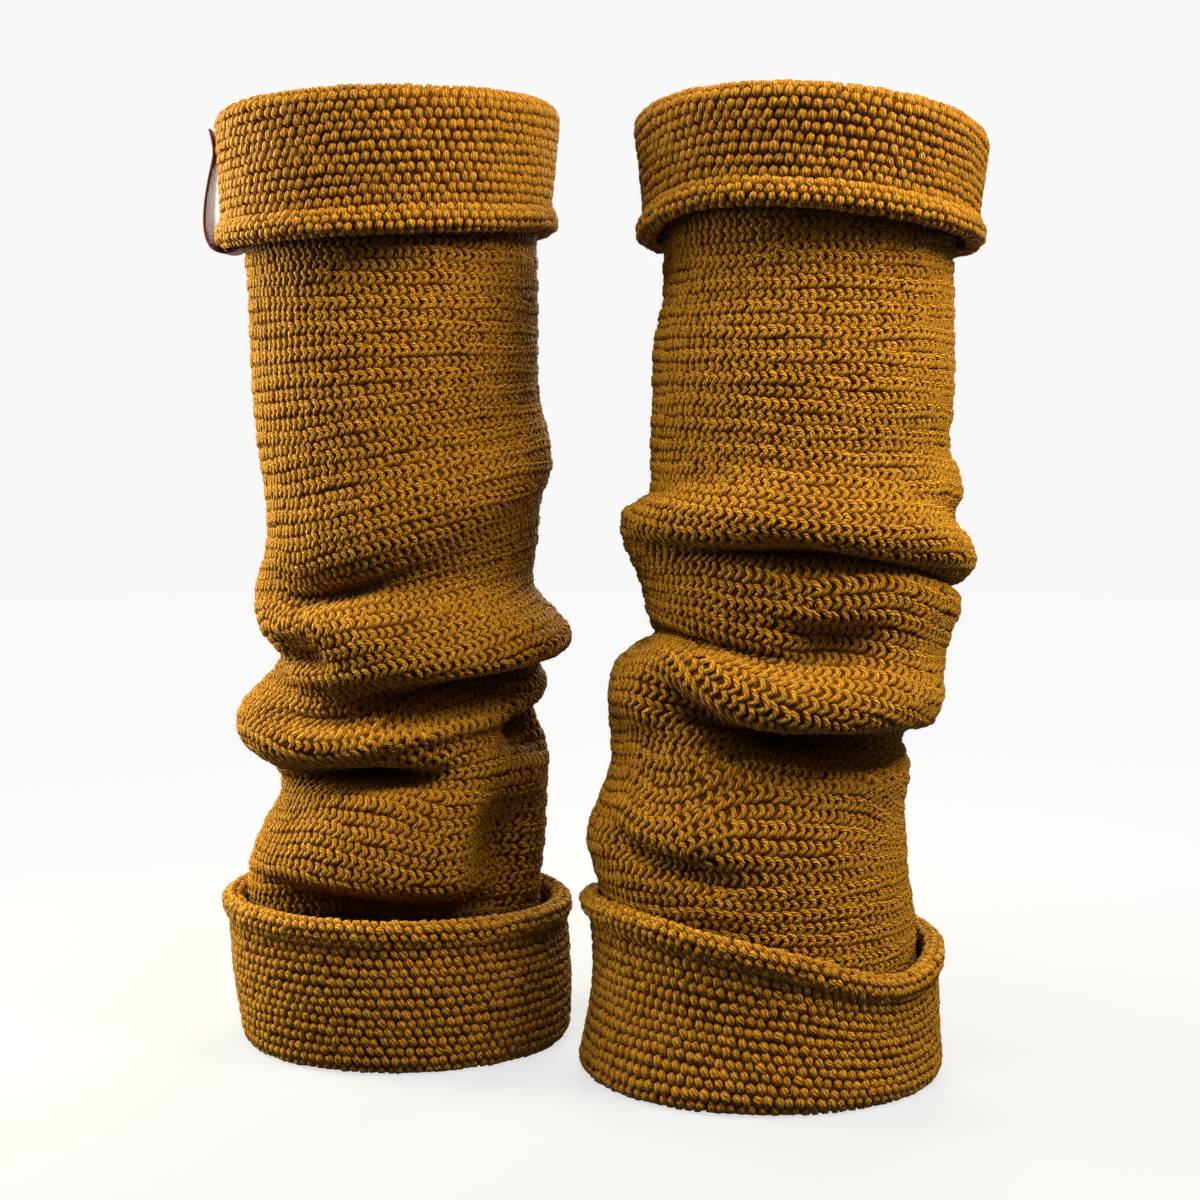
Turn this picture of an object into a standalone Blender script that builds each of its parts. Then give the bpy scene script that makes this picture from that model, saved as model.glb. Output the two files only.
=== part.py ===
"""A pair of slouched knitted leg warmers standing on a surface, metres, +Z up.

Each leg warmer is one knitted tube. Its two ends are turned back outside as
cuffs, and the tube between them sinks down in folds. Angles go round a tube
from the front (0), which faces -Y, through the right (+X) to the back (180).
"""
import math
from collections import namedtuple

import bmesh
import bpy
import numpy as np

# Cloth and seams
WALL = 0.0034
SEAM_GAP = 0.0003

# The turned-back fold at a cuff's crest, along the middle of the wall. Its odd
# number of steps leaves a flat ring in the middle, which the bottom cuff stands on.
TURN_RADIUS = 0.0049
TURN_STEPS = 5
FLAT_STEP = TURN_STEPS // 2
TURN_REACH = (TURN_RADIUS + WALL / 2) * math.sin(math.pi * FLAT_STEP / TURN_STEPS)

# The free edge of a cuff, which rolls outward into a bead
BEAD_THICKNESS = 0.0076
BEAD_SHIFT = 0.0012
BeadRow = namedtuple("BeadRow", "from_edge fullness")
BEAD_ROWS = (
    BeadRow(0.0095, 0.0),
    BeadRow(0.0070, 0.65),
    BeadRow(0.0040, 1.0),
    BeadRow(0.0013, 0.8),
    BeadRow(0.0, 0.35),
)
CUFF_WALL_STEPS = 3

# How finely the tubes are divided
COLUMNS = 24
BODY_ROWS = 48
PROFILE_SAMPLES = 500
ROW_LENGTH = 0.018
ROW_TURN = math.radians(24)
WELD_DISTANCE = 0.00001
SHARP_ANGLE = math.radians(50)

# What presses flat on the surface below
PRESS_BAND = 0.0003

# Where each leg stands, measured from the middle of the pair
LEFT_PLACE = (-0.0785, 0.0271, 0.0)
RIGHT_PLACE = (0.0725, -0.0269, 0.0)

# A section is the tube's outer outline at one height before it is folded,
# with its centre measured from the leg's own place.
Section = namedtuple("Section", "height centre_x centre_y half_width half_depth")

# A fold pushes the cloth out by its depth and lets it hang by droop times the
# depth. Above and below say how far it reaches. Each value is one number, or
# numbers at even steps round the tube: left, front, right, back, and where
# there are eight also the corners between them. A negative depth is a hollow.
Fold = namedtuple("Fold", "name heights depths droop above below")
FOLD_ROUNDNESS = 2.5

# A pleat is an upright groove, placed and sized in degrees round the tube
Pleat = namedtuple("Pleat", "name facing reach top bottom depth")

# A cuff goes from the tube's end round the turn and back to its free edge,
# whose outline and heights round the tube are given. Its wall draws in by the
# waist half way up.
Cuff = namedtuple("Cuff", "seam crests centre_x centre_y half_width half_depth edges waist")

Leg = namedtuple("Leg", "name place sections folds pleats top_cuff bottom_cuff")

LEFT_LEG = Leg(
    name="left",
    place=LEFT_PLACE,
    sections=(
        Section(0.3920, -0.0033, 0.0000, 0.0612, 0.0600),
        Section(0.3436, -0.0025, 0.0000, 0.0606, 0.0594),
        Section(0.3102, -0.0013, 0.0005, 0.0601, 0.0590),
        Section(0.2766, -0.0008, 0.0005, 0.0595, 0.0585),
        Section(0.2547, 0.0001, 0.0000, 0.0588, 0.0580),
        Section(0.2268, 0.0026, -0.0005, 0.0570, 0.0568),
        Section(0.2118, 0.0030, -0.0005, 0.0556, 0.0558),
        Section(0.1947, 0.0009, 0.0000, 0.0554, 0.0554),
        Section(0.1646, 0.0056, 0.0010, 0.0550, 0.0548),
        Section(0.1413, 0.0031, 0.0010, 0.0533, 0.0540),
        Section(0.1221, 0.0064, 0.0000, 0.0562, 0.0552),
        Section(0.1038, 0.0060, -0.0010, 0.0562, 0.0562),
        Section(0.0895, 0.0019, -0.0010, 0.0598, 0.0590),
        Section(0.0691, -0.0024, 0.0000, 0.0621, 0.0606),
        Section(0.0527, -0.0021, 0.0000, 0.0613, 0.0602),
        Section(0.0321, -0.0008, 0.0000, 0.0602, 0.0594),
        Section(0.0000, 0.0034, 0.0000, 0.0592, 0.0588),
    ),
    folds=(
        Fold(
            "slanting_ridge",
            heights=(0.2048, 0.2168, 0.2448, 0.2270),
            depths=(0.0020, 0.0040, 0.0053, 0.0030),
            droop=0.4, above=0.018, below=0.013,
        ),
        Fold(
            "hollow_below_ridge",
            heights=(0.1947, 0.1930, 0.1945, 0.2010, 0.2050, 0.2070, 0.2050, 0.2000),
            depths=(0.0000, -0.0065, -0.0055, -0.0010, 0.0000, -0.0020, -0.0040, -0.0010),
            droop=0.0, above=0.010, below=0.008,
        ),
        Fold(
            "flap",
            heights=(0.1800, 0.1635, 0.1625, 0.1660, 0.1705, 0.1720, 0.1740, 0.1770),
            depths=(0.0070, 0.0090, 0.0100, 0.0120, 0.0133, 0.0110, 0.0080, 0.0075),
            droop=(0.1, 0.5, 0.35, 0.4),
            above=(0.018, 0.028, 0.024, 0.016, 0.011, 0.013, 0.016, 0.017),
            below=(0.012, 0.008, 0.011, 0.010),
        ),
        Fold(
            "dent_beside_pinch",
            heights=0.1660,
            depths=(-0.0010, -0.0050, 0.0000, 0.0000, 0.0000, 0.0000, 0.0000, 0.0000),
            droop=0.0, above=0.008, below=0.006,
        ),
        Fold(
            "hollow_below_flap",
            heights=(0.1560, 0.1480, 0.1520, 0.1570, 0.1600, 0.1600, 0.1590, 0.1580),
            depths=(0.0000, -0.0040, -0.0040, -0.0030, -0.0010, -0.0010, -0.0030, -0.0010),
            droop=0.0, above=0.006, below=0.006,
        ),
        Fold(
            "roll",
            heights=(0.1352, 0.1315, 0.1366, 0.1435, 0.1505, 0.1475, 0.1425, 0.1385),
            depths=(0.0182, 0.0150, 0.0100, 0.0065, 0.0055, 0.0060, 0.0100, 0.0140),
            droop=(0.15, 0.5, 0.3, 0.4),
            above=(0.015, 0.011, 0.007, 0.012),
            below=(0.016, 0.009, 0.008, 0.010),
        ),
        Fold(
            "hollow_below_roll",
            heights=(0.1165, 0.1165, 0.1175, 0.1200, 0.1250, 0.1240, 0.1220, 0.1180),
            depths=(0.0000, -0.0050, -0.0030, 0.0000, 0.0000, 0.0000, -0.0030, -0.0030),
            droop=0.0, above=0.006, below=0.008,
        ),
    ),
    pleats=(
        Pleat("tuck_below_roll", facing=50, reach=14, top=0.138, bottom=0.075, depth=0.005),
    ),
    top_cuff=Cuff(
        seam=0.3765,
        crests=(0.3872, 0.3900, 0.3908, 0.3896),
        centre_x=-0.0039, centre_y=0.0, half_width=0.0674, half_depth=0.0664,
        edges=(0.3330, 0.3323, 0.3338, 0.3366, 0.3396, 0.3380, 0.3350, 0.3338),
        waist=0.0000,
    ),
    bottom_cuff=Cuff(
        seam=0.0110,
        crests=(0.0, 0.0, 0.0, 0.0),
        centre_x=-0.0014, centre_y=0.0, half_width=0.0703, half_depth=0.0692,
        edges=(0.0630, 0.0622, 0.0614, 0.0604, 0.0599, 0.0609, 0.0622, 0.0632),
        waist=-0.0015,
    ),
)

RIGHT_LEG = Leg(
    name="right",
    place=RIGHT_PLACE,
    sections=(
        Section(0.3900, 0.0174, 0.0000, 0.0602, 0.0590),
        Section(0.3485, 0.0163, 0.0000, 0.0582, 0.0574),
        Section(0.3230, 0.0158, 0.0005, 0.0568, 0.0562),
        Section(0.3072, 0.0158, 0.0005, 0.0572, 0.0564),
        Section(0.2924, 0.0144, 0.0005, 0.0589, 0.0576),
        Section(0.2676, 0.0139, 0.0000, 0.0592, 0.0580),
        Section(0.2507, 0.0127, 0.0000, 0.0587, 0.0578),
        Section(0.2328, 0.0128, -0.0005, 0.0586, 0.0578),
        Section(0.2188, 0.0134, -0.0005, 0.0600, 0.0586),
        Section(0.2008, 0.0141, 0.0000, 0.0631, 0.0606),
        Section(0.1877, 0.0146, 0.0005, 0.0625, 0.0602),
        Section(0.1746, 0.0132, 0.0010, 0.0594, 0.0584),
        Section(0.1544, 0.0053, 0.0010, 0.0581, 0.0574),
        Section(0.1342, -0.0023, 0.0005, 0.0580, 0.0572),
        Section(0.1250, -0.0018, 0.0000, 0.0595, 0.0578),
        Section(0.1108, -0.0052, -0.0005, 0.0607, 0.0588),
        Section(0.0945, -0.0067, -0.0010, 0.0628, 0.0602),
        Section(0.0781, -0.0049, -0.0005, 0.0624, 0.0604),
        Section(0.0689, -0.0022, 0.0000, 0.0614, 0.0602),
        Section(0.0577, -0.0006, 0.0000, 0.0606, 0.0598),
        Section(0.0319, -0.0004, 0.0000, 0.0610, 0.0602),
        Section(0.0000, -0.0020, 0.0000, 0.0632, 0.0624),
    ),
    folds=(
        Fold(
            "shoulder",
            heights=(0.2365, 0.2365, 0.2368, 0.2348, 0.2338, 0.2338, 0.2348, 0.2365),
            depths=(0.0000, 0.0000, 0.0005, 0.0030, 0.0060, 0.0040, 0.0020, 0.0000),
            droop=0.3, above=0.010, below=0.009,
        ),
        Fold(
            "round_roll",
            heights=(0.2225, 0.2233, 0.2208, 0.2153, 0.2078, 0.2098, 0.2148, 0.2188),
            depths=(0.0115, 0.0100, 0.0095, 0.0085, 0.0070, 0.0080, 0.0090, 0.0105),
            droop=(0.1, 0.6, 0.3, 0.4),
            above=(0.005, 0.011, 0.008, 0.010),
            below=(0.019, 0.008, 0.009, 0.011),
        ),
        Fold(
            "hollow_below_roll",
            heights=(0.2120, 0.2120, 0.2115, 0.2070, 0.1990, 0.2010, 0.2060, 0.2100),
            depths=(0.0000, -0.0020, -0.0035, -0.0030, -0.0010, -0.0020, -0.0030, -0.0020),
            droop=0.0, above=0.006, below=0.007,
        ),
        Fold(
            "left_step",
            heights=(0.1625, 0.1640, 0.1620, 0.1580, 0.1540, 0.1560, 0.1580, 0.1610),
            depths=(0.0112, 0.0095, 0.0070, 0.0030, 0.0000, 0.0010, 0.0050, 0.0090),
            droop=0.1,
            above=(0.005, 0.007, 0.007, 0.008),
            below=(0.022, 0.017, 0.018, 0.022),
        ),
        Fold(
            "right_overhang",
            heights=(0.1510, 0.1510, 0.1500, 0.1480, 0.1448, 0.1455, 0.1480, 0.1510),
            depths=(0.0000, 0.0040, 0.0080, 0.0082, 0.0062, 0.0062, 0.0050, 0.0010),
            droop=(0.3, 0.65, 0.7, 0.5),
            above=(0.016, 0.016, 0.015, 0.016),
            below=(0.008, 0.008, 0.007, 0.008),
        ),
        Fold(
            "hollow_below_overhang",
            heights=(0.1420, 0.1420, 0.1400, 0.1380, 0.1330, 0.1350, 0.1380, 0.1420),
            depths=(0.0000, -0.0020, -0.0040, -0.0040, -0.0010, -0.0020, -0.0020, 0.0000),
            droop=0.0, above=0.006, below=0.009,
        ),
        Fold(
            "low_ridge",
            heights=(0.0956, 0.1027, 0.1020, 0.1010, 0.1000, 0.1000, 0.0990, 0.0970),
            depths=(0.0020, 0.0035, 0.0020, 0.0000, 0.0000, 0.0010, 0.0030, 0.0030),
            droop=0.5, above=0.012, below=0.008,
        ),
    ),
    pleats=(),
    top_cuff=Cuff(
        seam=0.3590,
        crests=(0.3808, 0.3840, 0.3832, 0.3776, 0.3716, 0.3742, 0.3790, 0.3812),
        centre_x=0.0166, centre_y=0.0, half_width=0.0649, half_depth=0.0642,
        edges=(0.3314, 0.3402, 0.3387, 0.3330, 0.3284, 0.3272, 0.3280, 0.3290),
        waist=0.0005,
    ),
    bottom_cuff=Cuff(
        seam=0.0110,
        crests=(0.0, 0.0, 0.0, 0.0),
        centre_x=-0.0014, centre_y=0.0, half_width=0.0698, half_depth=0.0694,
        edges=(0.0720, 0.0722, 0.0629, 0.0485, 0.0545, 0.0565, 0.0590, 0.0660),
        waist=(0.0040, 0.0020, 0.0000, 0.0015),
    ),
)

# The blank ribbon loop on the left side of the left leg's top cuff: sewn on
# below its free tip, it bows out past the cuff's edge and goes back under it.
RIBBON_WIDTH = 0.014
RIBBON_THICKNESS = 0.0008
RIBBON_STEPS = 26
RIBBON_TWIST = math.radians(12)
RIBBON_SEWN_SHARE = 0.22
RibbonPoint = namedtuple("RibbonPoint", "x height")
RIBBON_ROUTE = (
    RibbonPoint(-0.0764, 0.3808),
    RibbonPoint(-0.0754, 0.3765),
    RibbonPoint(-0.0748, 0.3712),
    RibbonPoint(-0.0756, 0.3655),
    RibbonPoint(-0.0768, 0.3580),
    RibbonPoint(-0.0777, 0.3500),
    RibbonPoint(-0.0779, 0.3430),
    RibbonPoint(-0.0771, 0.3370),
    RibbonPoint(-0.0750, 0.3325),
    RibbonPoint(-0.0712, 0.3303),
    RibbonPoint(-0.0668, 0.3307),
    RibbonPoint(-0.0640, 0.3328),
    RibbonPoint(-0.0635, 0.3362),
)

# Colour, roughness
MUSTARD_KNIT = ((0.42, 0.17, 0.012), 0.92)
DARK_KNIT = ((0.34, 0.13, 0.010), 0.94)
BURGUNDY_RIBBON = ((0.22, 0.012, 0.016), 0.55)


def clear_scene():
    for old in list(bpy.data.objects):
        bpy.data.objects.remove(old, do_unlink=True)


def smooth_through(at, knots, values):
    """Cubic curve through values at rising knots, read at the given places."""
    knots = np.asarray(knots, dtype=float)
    values = np.asarray(values, dtype=float)
    slopes = np.gradient(values, knots)
    index = np.clip(np.searchsorted(knots, at) - 1, 0, len(knots) - 2)
    span = knots[index + 1] - knots[index]
    part = np.clip((at - knots[index]) / span, 0.0, 1.0)
    rise = values[index + 1] - values[index]
    blend = part * part * (3 - 2 * part)
    start_pull = part * (1 - part) ** 2 * slopes[index] * span
    end_pull = part ** 2 * (part - 1) * slopes[index + 1] * span
    return values[index] + rise * blend + start_pull + end_pull


def round_tube(angle, values):
    """Values at even steps round the tube, from its left, read at angles."""
    if not isinstance(values, tuple):
        return np.full(np.shape(angle), values)
    count = len(values)
    place = ((angle + math.pi / 2) / (2 * math.pi) * count) % count
    knots = np.arange(-2, count + 3)
    return smooth_through(place, knots, [values[knot % count] for knot in knots])


def section_values(leg, height, field):
    rows = leg.sections[::-1]
    knots = [row.height for row in rows]
    return smooth_through(height, knots, [getattr(row, field) for row in rows])


def fold_shift(leg, angle, height):
    """How far the folds push the cloth out and let it down."""
    outward = np.zeros(np.broadcast(angle, height).shape)
    down = np.zeros_like(outward)
    for fold in leg.folds:
        depth = round_tube(angle, fold.depths)
        droop = round_tube(angle, fold.droop)
        crest = round_tube(angle, fold.heights) + droop * depth
        above = round_tube(angle, fold.above)
        below = round_tube(angle, fold.below)
        reach = np.where(height > crest, above, below)
        bump = depth * np.exp(-np.abs((height - crest) / reach) ** FOLD_ROUNDNESS)
        outward += bump
        down += droop * bump
    for pleat in leg.pleats:
        turn = np.degrees(angle) - pleat.facing
        turn = (turn + 180) % 360 - 180
        middle = (pleat.top + pleat.bottom) / 2
        half = (pleat.top - pleat.bottom) / 2
        along = np.clip(1 - ((height - middle) / half) ** 2, 0, None)
        outward -= pleat.depth * along * np.exp(-(turn / pleat.reach) ** 2)
    return outward, down


def tube_points(leg, angle, height):
    """Middle of the folded tube's wall."""
    outward, down = fold_shift(leg, angle, height)
    inset = outward - WALL / 2
    width = section_values(leg, height, "half_width") + inset
    depth = section_values(leg, height, "half_depth") + inset
    x = section_values(leg, height, "centre_x") + width * np.sin(angle)
    y = section_values(leg, height, "centre_y") - depth * np.cos(angle)
    return np.stack(np.broadcast_arrays(x, y, height - down), axis=-1)


def column_angles():
    return np.linspace(-math.pi, math.pi, COLUMNS, endpoint=False)


def leg_rows(leg):
    """Rows of the tube between the cuffs, closer where the cloth bends.

    Down each column, a row costs a share of its length and of its turning.
    """
    angles = column_angles()
    top = leg.top_cuff.seam - SEAM_GAP / 2
    bottom = leg.bottom_cuff.seam + SEAM_GAP / 2
    heights = np.linspace(top, bottom, PROFILE_SAMPLES)
    fine = tube_points(leg, angles[None, :], heights[:, None])
    steps = np.diff(fine, axis=0)
    lengths = np.linalg.norm(steps, axis=-1)
    ways = steps / lengths[..., None]
    cosines = np.clip(np.sum(ways[1:] * ways[:-1], axis=-1), -1, 1)
    turns = np.vstack([np.zeros((1, COLUMNS)), np.arccos(cosines)])
    effort = lengths / ROW_LENGTH + turns / ROW_TURN
    effort = np.vstack([np.zeros((1, COLUMNS)), np.cumsum(effort, axis=0)])
    row_heights = np.empty((BODY_ROWS, COLUMNS))
    for column in range(COLUMNS):
        shares = np.linspace(0, effort[-1, column], BODY_ROWS)
        row_heights[:, column] = np.interp(shares, effort[:, column], heights)
    return tube_points(leg, angles[None, :], row_heights)


def cuff_rows(leg, cuff, upward):
    """Rows of a cuff from its seam, round the turn, to its beaded free edge.

    upward is 1 for the top cuff, which turns over at its top, and -1 for the
    bottom one. Each row comes with its bead's fullness.
    """
    angles = column_angles()
    outward = np.stack([np.sin(angles), -np.cos(angles), np.zeros(COLUMNS)], axis=-1)
    turn_centre = round_tube(angles, cuff.crests) - upward * TURN_REACH
    seam = cuff.seam + upward * SEAM_GAP / 2
    rows = [(tube_points(leg, angles, np.full(COLUMNS, seam)), 0.0)]

    start = tube_points(leg, angles, turn_centre)
    for step in range(TURN_STEPS + 1):
        turn = math.pi * step / TURN_STEPS
        row = start + TURN_RADIUS * (1 - math.cos(turn)) * outward
        row[:, 2] += upward * TURN_RADIUS * math.sin(turn)
        rows.append((row, 0.0))

    wall_top = start + 2 * TURN_RADIUS * outward
    edge = np.stack(
        [
            cuff.centre_x + (cuff.half_width - WALL / 2) * np.sin(angles),
            cuff.centre_y - (cuff.half_depth - WALL / 2) * np.cos(angles),
            round_tube(angles, cuff.edges),
        ],
        axis=-1,
    )
    length = np.abs(edge[:, 2] - wall_top[:, 2])
    bead_start = 1 - BEAD_ROWS[0].from_edge / length
    waist = round_tube(angles, cuff.waist)[:, None] * outward
    for step in range(1, CUFF_WALL_STEPS):
        share = (bead_start * step / CUFF_WALL_STEPS)[:, None]
        row = wall_top + (edge - wall_top) * share
        rows.append((row - waist * np.sin(math.pi * share), 0.0))
    for bead in BEAD_ROWS:
        share = (1 - bead.from_edge / length)[:, None]
        row = wall_top + (edge - wall_top) * share
        row += BEAD_SHIFT * bead.fullness * outward
        rows.append((row, bead.fullness))
    return rows


def wrapped_grid(name, rows, fullness, closed):
    """A grid laid on rows of points; a closed one is welded along its side."""
    row_count = len(rows)
    column_count = len(rows[0])
    steps = column_count if closed else column_count - 1
    mesh = bpy.data.meshes.new(name)
    bm = bmesh.new()
    bmesh.ops.create_grid(bm, x_segments=steps, y_segments=row_count - 1, size=1.0)
    weights = bm.verts.layers.deform.verify()
    for vert in bm.verts:
        column = round((vert.co.x + 1) / 2 * steps)
        row = round((vert.co.y + 1) / 2 * (row_count - 1))
        vert[weights][0] = fullness[row]
        vert.co = rows[row][column % column_count]
    if closed:
        bmesh.ops.remove_doubles(bm, verts=bm.verts, dist=WELD_DISTANCE)
    bm.to_mesh(mesh)
    bm.free()
    return bpy.data.objects.new(name, mesh)


def thicken(sheet, thickest, thinnest):
    """Solidify evenly on both sides, thicker where the bead is full."""
    sheet.vertex_groups.new(name="bead")
    solid = sheet.modifiers.new("wall", "SOLIDIFY")
    solid.thickness = thickest
    solid.offset = 0.0
    solid.use_rim = True
    solid.vertex_group = "bead"
    solid.thickness_vertex_group = thinnest / thickest


def settle(sheet):
    """Press what reaches the surface below exactly flat."""
    graph = bpy.context.evaluated_depsgraph_get()
    mesh = bpy.data.meshes.new_from_object(sheet.evaluated_get(graph))
    for vertex in mesh.vertices:
        if abs(vertex.co.z) < PRESS_BAND:
            vertex.co.z = 0.0
    sheet.modifiers.clear()
    sheet.data = mesh


def finish_piece(piece, look, place, group):
    colour, roughness = look
    material = bpy.data.materials.new(piece.name)
    material.use_nodes = True
    shader = material.node_tree.nodes["Principled BSDF"]
    shader.inputs["Base Color"].default_value = (*colour, 1.0)
    shader.inputs["Roughness"].default_value = roughness
    shader.inputs["Metallic"].default_value = 0.0
    piece.data.materials.clear()
    piece.data.materials.append(material)
    piece.data.shade_smooth()
    piece.data.set_sharp_from_angle(angle=SHARP_ANGLE)
    piece.parent = place
    group.objects.link(piece)


def make_leg(leg, group):
    place = bpy.data.objects.new(f"{leg.name}_place", None)
    place.location = leg.place
    group.objects.link(place)

    tube = wrapped_grid(f"{leg.name}_leg", leg_rows(leg), [0.0] * BODY_ROWS, True)
    thicken(tube, BEAD_THICKNESS, WALL)
    finish_piece(tube, MUSTARD_KNIT, place, group)

    for cuff, end, upward in ((leg.top_cuff, "top", 1), (leg.bottom_cuff, "bottom", -1)):
        rows = cuff_rows(leg, cuff, upward)
        points = [row for row, fullness in rows]
        fullness = [fullness for row, fullness in rows]
        piece = wrapped_grid(f"{leg.name}_{end}_cuff", points, fullness, True)
        thicken(piece, BEAD_THICKNESS, WALL)
        finish_piece(piece, DARK_KNIT, place, group)
        if end == "bottom":
            bpy.context.view_layer.update()
            settle(piece)
    return place


def ribbon_rows():
    """Rows across the ribbon, turning slightly as it goes down."""
    knots = np.linspace(0, 1, len(RIBBON_ROUTE))
    shares = np.linspace(0, 1, RIBBON_STEPS + 1)
    xs = smooth_through(shares, knots, [point.x for point in RIBBON_ROUTE])
    heights = smooth_through(shares, knots, [point.height for point in RIBBON_ROUTE])
    rows = []
    for share, x, height in zip(shares, xs, heights):
        free = max(0.0, (share - RIBBON_SEWN_SHARE) / (1 - RIBBON_SEWN_SHARE))
        turn = RIBBON_TWIST * math.sin(math.pi * free)
        across = np.array([math.sin(turn), math.cos(turn), 0.0]) * RIBBON_WIDTH / 2
        middle = np.array([x, 0.0, height])
        rows.append([middle - across, middle, middle + across])
    return rows


def make_ribbon(place, group):
    rows = ribbon_rows()
    ribbon = wrapped_grid("left_label_loop", rows, [0.0] * len(rows), False)
    thicken(ribbon, RIBBON_THICKNESS, RIBBON_THICKNESS)
    finish_piece(ribbon, BURGUNDY_RIBBON, place, group)


def main():
    clear_scene()
    group = bpy.data.collections.new("leg_warmers")
    bpy.context.scene.collection.children.link(group)
    left_place = make_leg(LEFT_LEG, group)
    make_ribbon(left_place, group)
    make_leg(RIGHT_LEG, group)


main()
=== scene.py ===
"""A pair of slouched leg warmers in chunky wool knit, on the part's own frame.

Each knitted area is a cloth: a grid of points with its facing, in rows and
stitches. A thin shell carries it, and every stitch on it is a piece of yarn.
Angles go round a tube from the front (0), which faces -Y, through the right
(+X) to the back (180). The folds and sizes are the ones that the part has.
"""

import math
from collections import namedtuple

import bpy
import numpy as np
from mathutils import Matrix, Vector


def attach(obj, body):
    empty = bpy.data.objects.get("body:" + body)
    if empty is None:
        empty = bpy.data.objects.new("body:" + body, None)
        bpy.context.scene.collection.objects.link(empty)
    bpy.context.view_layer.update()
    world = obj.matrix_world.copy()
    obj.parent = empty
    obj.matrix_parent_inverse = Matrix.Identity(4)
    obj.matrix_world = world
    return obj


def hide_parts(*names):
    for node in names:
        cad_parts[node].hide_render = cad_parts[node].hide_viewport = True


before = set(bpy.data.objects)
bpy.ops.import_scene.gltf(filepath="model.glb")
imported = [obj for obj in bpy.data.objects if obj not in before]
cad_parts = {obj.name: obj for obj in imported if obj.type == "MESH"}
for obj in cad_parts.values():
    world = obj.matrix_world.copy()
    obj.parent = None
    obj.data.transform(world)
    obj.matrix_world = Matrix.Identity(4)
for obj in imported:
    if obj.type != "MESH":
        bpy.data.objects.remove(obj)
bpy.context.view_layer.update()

# Cloth and folds, as in the part
WALL = 0.0034
SEAM_GAP = 0.0003
TURN_RADIUS = 0.0049
TURN_REACH = (TURN_RADIUS + WALL / 2) * math.sin(math.pi * 2 / 5)
FOLD_ROUNDNESS = 2.5
CREASE_ROUNDNESS = 3.0
CREASE_SHARPNESS = 4.0


def table(kind, *rows):
    """Rows of numbers as named tuples of one kind."""
    return tuple(kind(*row) for row in rows)


Section = namedtuple("Section", "height centre_x centre_y half_width half_depth")
Fold = namedtuple("Fold", "name heights depths above below droop", defaults=(0.0,))
Pleat = namedtuple("Pleat", "name facing reach top bottom depth")
Cuff = namedtuple("Cuff", "seam crests centre_x half_width half_depth edges waist")
Leg = namedtuple("Leg", "name place sections folds pleats top_cuff bottom_cuff")

LEFT_SECTIONS = table(
    Section,
    (0.3920, -0.0033, 0.0, 0.0612, 0.0600),
    (0.3436, -0.0025, 0.0, 0.0606, 0.0594),
    (0.3102, -0.0013, 0.0005, 0.0601, 0.0590),
    (0.2766, -0.0008, 0.0005, 0.0595, 0.0585),
    (0.2547, 0.0001, 0.0, 0.0588, 0.0580),
    (0.2268, 0.0026, -0.0005, 0.0570, 0.0568),
    (0.2118, 0.0030, -0.0005, 0.0556, 0.0558),
    (0.1947, 0.0009, 0.0, 0.0554, 0.0554),
    (0.1646, 0.0056, 0.0010, 0.0550, 0.0548),
    (0.1413, 0.0031, 0.0010, 0.0533, 0.0540),
    (0.1221, 0.0064, 0.0, 0.0562, 0.0552),
    (0.1038, 0.0060, -0.0010, 0.0562, 0.0562),
    (0.0895, 0.0019, -0.0010, 0.0598, 0.0590),
    (0.0691, -0.0024, 0.0, 0.0621, 0.0606),
    (0.0527, -0.0021, 0.0, 0.0613, 0.0602),
    (0.0321, -0.0008, 0.0, 0.0602, 0.0594),
    (0.0, 0.0034, 0.0, 0.0592, 0.0588),
)
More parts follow.
